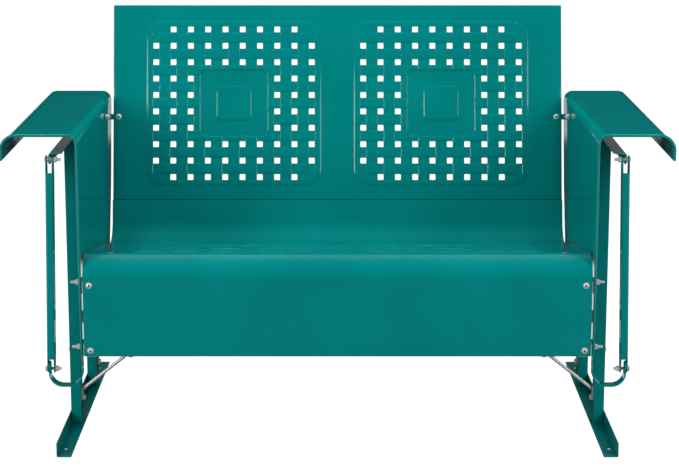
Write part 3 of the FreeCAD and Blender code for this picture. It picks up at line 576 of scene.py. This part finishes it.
def net_point(u, along, field_along):
    """Moved position and height of one crossing of the net."""
    side = 1 if u > 0 else -1
    field_u = u - side * FIELD_X
    field_v = along - field_along
    height = field_height(field_u, field_v)
    offset = hole_near(field_u, field_v)
    if offset is None:
        return u, along, height
    du = abs(offset[0])
    dv = abs(offset[1])
    if max(du, dv) > HOLE_HALF + TOUCH:
        return u, along, height
    if abs(max(du, dv) - HOLE_HALF) < TOUCH:
        height -= EDGE_ROLL
    if abs(du - HOLE_HALF) < TOUCH and abs(dv - HOLE_HALF) < TOUCH:
        u -= math.copysign(CORNER_PULL, offset[0])
        along -= math.copysign(CORNER_PULL, offset[1])
    return u, along, height


def in_hole(u, along, field_along):
    """Whether the middle of a net square lies in a hole."""
    side = 1 if u > 0 else -1
    offset = hole_near(u - side * FIELD_X, along - field_along)
    return offset is not None and max(abs(offset[0]), abs(offset[1])) < HOLE_HALF


print("corners of the holes are pulled in by", round(CORNER_PULL, 2), "mm")

# %% [markdown]
# ### Side edges
# The sides of the back are hemmed: the sheet is folded back flat on itself, so it is twice
# as thick there and ends in a full round. The seat's sides are plain cut edges beside the
# side panels, eased only by the paint. The hem could be bent like the rest of the sheet, but
# its inner side is never seen, so it is enough to set how far the two nets stand apart.

# %% Skins at an edge
EDGE_EASE = 0.3


def skin_heights(height, from_edge, hem):
    """Heights of the sheet's front and back skin, at a distance from its side edge."""
    front = height
    back = height - SHEET
    if hem and from_edge < SHEET:
        front = math.sqrt(max(SHEET ** 2 - (SHEET - from_edge) ** 2, 0.0)) - SHEET
        back = -2 * SHEET - front
    elif hem and from_edge <= hem + TOUCH:
        back = -2 * SHEET
    elif not hem and from_edge < EDGE_EASE:
        front -= EDGE_EASE - from_edge
    return front, back


print("skins 10 mm inside a hem of 20 mm:", skin_heights(0.0, 10.0, 20.0))

# %% [markdown]
# ### Crisp and soft edges
# A pressed sheet shades softly, while the rims of its holes are crisp. A modifier could
# split the edges at render time. Marking them in the mesh itself is simpler, and the marks
# stay with the mesh when it is exported.

# %% Finish of a mesh
SHARP_ANGLE = math.radians(40)
SAME_PLACE = 1e-6


def finish_mesh(name, mesh):
    """Links the object, drops loose vertices and keeps edges crisp above an angle."""
    work = bmesh.new()
    work.from_mesh(mesh)
    bmesh.ops.remove_doubles(work, verts=work.verts, dist=SAME_PLACE)
    loose = [vertex for vertex in work.verts if not vertex.link_faces]
    bmesh.ops.delete(work, geom=loose, context="VERTS")
    bmesh.ops.recalc_face_normals(work, faces=work.faces)
    for edge in work.edges:
        edge.smooth = len(edge.link_faces) == 2 and edge.calc_face_angle(0.0) < SHARP_ANGLE
    for face in work.faces:
        face.smooth = True
    work.to_mesh(mesh)
    work.free()
    made = bpy.data.objects.new(name, mesh)
    bpy.context.scene.collection.objects.link(made)
    print(name, len(mesh.vertices), "vertices")
    return made


print("edges are crisp from", round(math.degrees(SHARP_ANGLE)), "degrees")

# %% [markdown]
# ### From net to mesh
# Every square of the net becomes a face in front and one behind. Where a square has no
# neighbour, at the sheet's edge or at a hole, a wall joins the two skins, so the sheet is
# closed all round. A Solidify modifier could do this too, but it knows nothing of the hems.

# %% Two nets and their walls
def net_faces(across, along, field_along):
    """Faces of the front net, of the net behind it and of the walls between them."""
    columns = len(across)
    count = len(along) * columns
    solid = {}
    for i in range(len(along) - 1):
        for j in range(columns - 1):
            middle_u = (across[j] + across[j + 1]) / 2
            middle_s = (along[i] + along[i + 1]) / 2
            solid[i, j] = not in_hole(middle_u, middle_s, field_along)
    faces = []
    for (i, j), filled in solid.items():
        if not filled:
            continue
        corners = [i * columns + j, i * columns + j + 1, (i + 1) * columns + j + 1,
                   (i + 1) * columns + j]
        faces.append(corners)
        faces.append([corner + count for corner in reversed(corners)])
        neighbours = ((i - 1, j), (i, j + 1), (i + 1, j), (i, j - 1))
        for side, neighbour in enumerate(neighbours):
            if solid.get(neighbour, False):
                continue
            first = corners[side]
            second = corners[(side + 1) % 4]
            faces.append([second, first, first + count, second + count])
    return faces


def net_mesh(name, path, across, along, half_width, field_along, placing, hem):
    """The object made of the two nets and their walls."""
    fronts = []
    backs = []
    for s in along:
        for u in across:
            moved_u, moved_s, height = net_point(u, s, field_along)
            place, outward = path.at(moved_s)
            front, back = skin_heights(height, half_width - abs(u), hem)
            fronts.append(placing(moved_u, place + outward * front))
            backs.append(placing(moved_u, place + outward * back))
    faces = net_faces(across, along, field_along)
    print(name, len(across), "by", len(along), "lines,", len(faces), "faces")
    mesh = bpy.data.meshes.new(name)
    mesh.from_pydata(fronts + backs, [], faces)
    mesh.validate()
    mesh.update()
    return finish_mesh(name, mesh)


far_field = 5000.0
print("faces of a plate of 2 by 2 squares:", len(net_faces([0, 1, 2], [0, 1, 2], far_field)))

# %% [markdown]
# ### A whole sheet
# What is left is to gather the lines. Those at the holes, the side edges and the bends have
# to stay, because vertices are needed just there. The others may give way to them.

# %% Sheet builder
EDGE_MARKS = (0.0, 0.3, 1.0)
MARGIN_LINE = 12.0
CLOSEST_ACROSS = 0.45
CLOSEST_ALONG = 0.3


def build_sheet(name, path, half_width, field_along, placing, hem=0.0):
    """Mesh of a pierced sheet. placing turns (across, path place) into a point in metres."""
    kept_u = []
    kept_s = []
    for hole in range(HOLES):
        for mark in (-HOLE_HALF, -HOLE_HALF + HOLE_ROUND, HOLE_HALF - HOLE_ROUND, HOLE_HALF):
            for side in (-1, 1):
                kept_u.append(side * FIELD_X + (hole - (HOLES - 1) / 2) * PITCH_ACROSS + mark)
            kept_s.append(field_along + (hole - (HOLES - 1) / 2) * PITCH_ALONG + mark)
    loose_u = []
    edge = SHEET if hem else EDGE_EASE
    for side in (-1, 1):
        loose_u += field_lines(side * FIELD_X, PITCH_ACROSS, FIELD_HALF_ACROSS,
                               INNER_HALF_ACROSS)
        for mark in EDGE_MARKS:
            kept_u.append(side * (half_width - edge * mark))
        kept_u.append(side * (half_width - max(hem, MARGIN_LINE)))
    loose_s = field_lines(field_along, PITCH_ALONG, FIELD_HALF_ALONG, INNER_HALF_ALONG)
    kept_s += path.lines()
    across = thinned(loose_u, kept_u, -half_width, half_width, CLOSEST_ACROSS)
    along = thinned(loose_s, kept_s, 0.0, path.length, CLOSEST_ALONG)
    return net_mesh(name, path, across, along, half_width, field_along, placing, hem)


print("a plain side edge has lines", [round(EDGE_EASE * mark, 2) for mark in EDGE_MARKS],
      "mm from it")

# %% [markdown]
# ### The back
# The back leans from the seam at its foot. Its flanges above and below and its hemmed sides
# stiffen the thin sheet and hide its cut edges. It rides on the seat's body and stands in
# for the CAD's own back, which has the same sheet and holes without the weave.

# %% Back panel
BEND = 3.0
SEAM_Y = 179.5
SEAM_Z = 410.7
RECLINE = math.radians(13.26)
BACK_HEIGHT = 425.0
BACK_HALF = 488.0
BACK_HEM = 20.0
BACK_FLANGE = 15.0
BACK_FIELD = 210.5


def back_point(across, place):
    """From the back's own frame (along the sheet, out of its face) to the bench's."""
    y = SEAM_Y + place.x * math.sin(RECLINE) - place.y * math.cos(RECLINE)
    z = SEAM_Z + place.x * math.cos(RECLINE) + place.y * math.sin(RECLINE)
    return Vector((across, y, z)) * MM


back_path = Path([(0, -BACK_FLANGE), (0, 0), (BACK_HEIGHT, 0), (BACK_HEIGHT, -BACK_FLANGE)],
                 [BEND, BEND])
back_start = BACK_FLANGE - BEND + math.pi / 2 * BEND - BEND
back = build_sheet("back_sheet", back_path, BACK_HALF, back_start + BACK_FIELD, back_point,
                   BACK_HEM)
back.data.materials.append(teal)
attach(back, "seat")
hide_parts("back_panel")

# %% [markdown]
# ### Side view of the seat
# The seat is bent from one sheet too. Its path starts at the flange below the apron, climbs
# the apron, rolls over the front edge, slopes down along the pan and turns up to the seam
# below the back. The corner between pan and rear is where those two lines meet.

# %% Seat path
APRON_Y = -335.0
APRON_BOTTOM = 208.0
APRON_FLANGE = 12.0
PAN_LINE = 411.1
PAN_SLOPE = math.radians(10.3)
FRONT_ROLL = 45.0
REAR_BEND = 50.0


def seat_corners():
    """Corner points of the seat's side view."""
    slope = math.tan(PAN_SLOPE)
    lean = math.tan(RECLINE)
    fall = PAN_LINE - slope * (SEAM_Y - APRON_Y)
    rear_z = (fall + slope * lean * SEAM_Z) / (1 + slope * lean)
    rear_y = SEAM_Y + (rear_z - SEAM_Z) * lean
    flange = (SEAM_Y + BACK_FLANGE * math.cos(RECLINE), SEAM_Z - BACK_FLANGE * math.sin(RECLINE))
    return [(APRON_Y + APRON_FLANGE, APRON_BOTTOM), (APRON_Y, APRON_BOTTOM),
            (APRON_Y, PAN_LINE), (rear_y, rear_z), (SEAM_Y, SEAM_Z), flange]


seat_path = Path(seat_corners(), [BEND, FRONT_ROLL, REAR_BEND, BEND])
print("the seat's path is", round(seat_path.length), "mm long")

# %% [markdown]
# ### The seat
# The seat has the same two fields as the back, so the same builder makes it. They are
# measured along the pan, which comes after the flange, the lower bend, the apron and the
# front roll, and so is piece number 4 of the path, counted from 0.

# %% Seat panel
PAN_PIECE = 4
SEAT_HALF = 489.0
SEAT_FIELD = 200.0


def seat_point(across, place):
    """From the side view to a point of the bench."""
    return Vector((across, place.x, place.y)) * MM


pan_start = seat_path.pieces[PAN_PIECE][1]
seat = build_sheet("seat_sheet", seat_path, SEAT_HALF, pan_start + SEAT_FIELD, seat_point)
seat.data.materials.append(teal)
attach(seat, "seat")
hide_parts("seat_panel")

# %% [markdown]
# ## Studio
# A glossy bench shows its surroundings, so a studio has two tasks: it lights the bench and it
# is mirrored in it. Cards and flags could be stood round the bench, as a photographer does.
# They would be in the way of other views, so the floor and the room answer by the kind of
# ray instead. The camera sees them white, with the bench's own soft shadow on the floor.
# Mirror reflections see them mostly dark, so that the paint keeps its full colour where it
# faces the camera, with a few bright zones that give the paint its highlights.

# %% Floor as it is mirrored
DARK_FLOOR = 0.02
BESIDE = 0.9
BESIDE_SIDEWAYS = (1.1, 1.7)
BESIDE_FORWARD = (-2.6, -2.0)
BEHIND = 0.6
BEHIND_FROM = (3.1, 3.5)
UNDER_SIDES = 0.45
UNDER_MIDDLE = 0.95
UNDER_FROM = (0.3, 0.5)
UNDER_TO = (1.2, 1.35)
UNDER_WIDTH = (0.75, 0.85)
MIDDLE_WIDTH = (0.465, 0.48)
MIDDLE_TAPER = 0.145


def mirrored_floor(graph):
    """How bright mirror reflections see each place of the floor. Distances are in metres."""
    place = graph.node("ShaderNodeNewGeometry", out="Position")
    across = graph.node("ShaderNodeSeparateXYZ", {}, [place], out="X").math("ABSOLUTE")
    along = graph.node("ShaderNodeSeparateXYZ", {}, [place], out="Y")
    beside = across.soft_step(*BESIDE_SIDEWAYS) * along.soft_step(*BESIDE_FORWARD) * BESIDE
    behind = along.soft_step(*BEHIND_FROM) * BEHIND
    under = along.soft_step(*UNDER_FROM) * (1 - along.soft_step(*UNDER_TO))
    under = under * (1 - across.soft_step(*UNDER_WIDTH))
    middle = 1 - (across + along * MIDDLE_TAPER).soft_step(*MIDDLE_WIDTH)
    under = under * (middle * UNDER_MIDDLE + UNDER_SIDES)
    return beside.math("MAXIMUM", behind).math("MAXIMUM", under) + DARK_FLOOR


print("brightest zone of the mirrored floor:", round(UNDER_MIDDLE + UNDER_SIDES + DARK_FLOOR, 2))

# %% [markdown]
# ### The floor
# The bright zones are beside the bench, far behind it, and under its rear, where the slits
# between apron and side panels and the inner sides of the straps look. For every other kind
# of ray the floor is a matt grey surface. The camera sees part of that, so that the shadow
# shows, and for the rest a glow that brings the floor up to white.

# %% Floor
FLOOR_REACH = 30.0
FLOOR_CORNERS = ((-1, -1), (1, -1), (1, 1), (-1, 1))
FLOOR_GREY = (0.4, 0.4, 0.4, 1)
FLOOR_GLOW = 1.85
GLOW_SHARE = 0.55
WHITE = (1, 1, 1, 1)


def plain_floor():
    mesh = bpy.data.meshes.new("floor")
    corners = [(x * FLOOR_REACH, y * FLOOR_REACH, 0) for x, y in FLOOR_CORNERS]
    mesh.from_pydata(corners, [], [(0, 1, 2, 3)])
    floor = bpy.data.objects.new("floor", mesh)
    bpy.context.scene.collection.objects.link(floor)
    graph = Graph(bpy.data.materials.new("floor_paint"))
    mirror_light = mirrored_floor(graph)
    matt = graph.node("ShaderNodeBsdfDiffuse", {}, {"Color": FLOOR_GREY})
    glow = graph.node("ShaderNodeEmission", {}, {"Color": WHITE, "Strength": FLOOR_GLOW})
    mirrored = graph.node("ShaderNodeEmission", {}, {"Color": mirror_light, "Strength": 1.0})
    by_camera = graph.node("ShaderNodeLightPath", out="Is Camera Ray")
    by_mirror = graph.node("ShaderNodeLightPath", out="Is Glossy Ray")
    shader = graph.node("ShaderNodeMixShader", {}, {0: by_camera * GLOW_SHARE, 1: matt, 2: glow})
    shader = graph.node("ShaderNodeMixShader", {}, {0: by_mirror, 1: shader, 2: mirrored})
    mesh.materials.append(graph.surface(shader))
    return floor


floor = plain_floor()
print("the floor reaches", FLOOR_REACH, "m each way")

# %% [markdown]
# ### The room
# A picture of a room could be wrapped round the scene, but two numbers are enough to shape a
# plain one. The world shader gets the direction that is looked in. Its upward part tells the
# height above the horizon and its rearward part whether the look goes behind the bench. There
# mirror reflections see a faint low wall and a brighter one higher up, which draw the light
# lines along the rolled front edges. The camera sees plain white.

# %% World
ROOM_LIGHT = 0.14
MIRRORED_ROOM = 0.004
WALL_LOW = 0.05
WALL_LOW_FROM = (0.20, 0.27)
WALL_HIGH = 0.33
WALL_HIGH_FROM = (0.45, 0.58)
REARWARD_FROM = (0.15, 0.5)


def studio_world():
    graph = Graph(bpy.data.worlds.new("studio"), "ShaderNodeOutputWorld")
    look = graph.node("ShaderNodeTexCoord", out="Generated")
    rearward = graph.node("ShaderNodeSeparateXYZ", {}, [look], out="Y")
    upward = graph.node("ShaderNodeSeparateXYZ", {}, [look], out="Z")
    wall = upward.soft_step(*WALL_LOW_FROM) * WALL_LOW
    wall = wall + upward.soft_step(*WALL_HIGH_FROM) * WALL_HIGH
    mirror_light = wall * rearward.soft_step(*REARWARD_FROM) + MIRRORED_ROOM
    by_camera = graph.node("ShaderNodeLightPath", out="Is Camera Ray")
    by_mirror = graph.node("ShaderNodeLightPath", out="Is Glossy Ray")
    light = graph.node("ShaderNodeMix", {}, {0: by_mirror, 2: ROOM_LIGHT, 3: mirror_light})
    light = graph.node("ShaderNodeMix", {}, {0: by_camera, 2: light, 3: 1.0})
    shader = graph.node("ShaderNodeBackground", {}, {"Color": light, "Strength": 1.0})
    return graph.surface(shader)


bpy.context.scene.world = studio_world()
print("made the world", bpy.context.scene.world.name)

# %% [markdown]
# ## Lamps
# Each lamp is an area lamp aimed at a point on the bench, like a soft box: a point lamp would
# give hard shadows and tiny highlights. The high boxes and the roof box only give soft light.
# The low boxes beside the camera and the strips above the arms are also seen in the paint, as
# thin highlights along the pressed edges and the rounded arms.

# %% Lamps
LOW_AIM = (0, -0.1, 0.5)
HIGH_AIM = (0, -0.1, 0.6)


def soft_lamp(name, place, aim, width, height, power, mirrored=False):
    data = bpy.data.lights.new(name, "AREA")
    data.shape = "RECTANGLE"
    data.size = width
    data.size_y = height
    data.energy = power
    lamp = bpy.data.objects.new(name, data)
    lamp.location = place
    lamp.rotation_mode = "QUATERNION"
    lamp.rotation_quaternion = (Vector(aim) - Vector(place)).to_track_quat("-Z", "Y")
    lamp.visible_glossy = mirrored
    bpy.context.scene.collection.objects.link(lamp)
    print(name, power, "W, mirrored" if mirrored else "W")


soft_lamp("left_box", (-2.7, -2.5, 2.5), LOW_AIM, 1.5, 1.5, 50)
soft_lamp("right_box", (2.7, -2.5, 2.5), LOW_AIM, 1.5, 1.5, 60)
soft_lamp("left_low_box", (-2.7, -2.5, 1.25), HIGH_AIM, 1.5, 0.9, 28, mirrored=True)
soft_lamp("right_low_box", (2.7, -2.5, 1.25), HIGH_AIM, 1.5, 0.9, 15, mirrored=True)
soft_lamp("roof_box", (0, 0.6, 3.0), (0, 0.1, 0.4), 3.0, 1.6, 42)
soft_lamp("arm_strip_left", (-1.05, -0.4, 3.0), (-1.05, -0.4, 0), 0.4, 0.7, 7, mirrored=True)
soft_lamp("arm_strip_right", (1.05, -0.4, 3.0), (1.05, -0.4, 0), 0.4, 0.7, 7, mirrored=True)

# %% [markdown]
# ## Camera
# The reference view is level from side to side and looks down by about eleven degrees. The
# bench could be centred by tilting the camera more or less, but that would change how much of
# the seat shows. A small lens shift moves the picture on its own.

# %% Camera
CAMERA_PLACE = (0, -3.888, 1.2574)
LOOKS_DOWN = 11.39
SENSOR_WIDTH = 36.0
LENS = 101.3
SHIFT_SIDEWAYS = 0.0029
SHIFT_UP = -0.07
SEES_AS_FAR_AS = 60
camera_data = bpy.data.cameras.new("camera")
camera_data.sensor_width = SENSOR_WIDTH
camera_data.lens = LENS
camera_data.shift_x = SHIFT_SIDEWAYS
camera_data.shift_y = SHIFT_UP
camera_data.clip_end = SEES_AS_FAR_AS
camera = bpy.data.objects.new("camera", camera_data)
camera.location = CAMERA_PLACE
camera.rotation_euler = (math.radians(90 - LOOKS_DOWN), 0, 0)
bpy.context.scene.collection.objects.link(camera)
bpy.context.scene.camera = camera
bpy.context.scene.view_settings.view_transform = "Standard"
print("the camera looks down by", LOOKS_DOWN, "degrees")
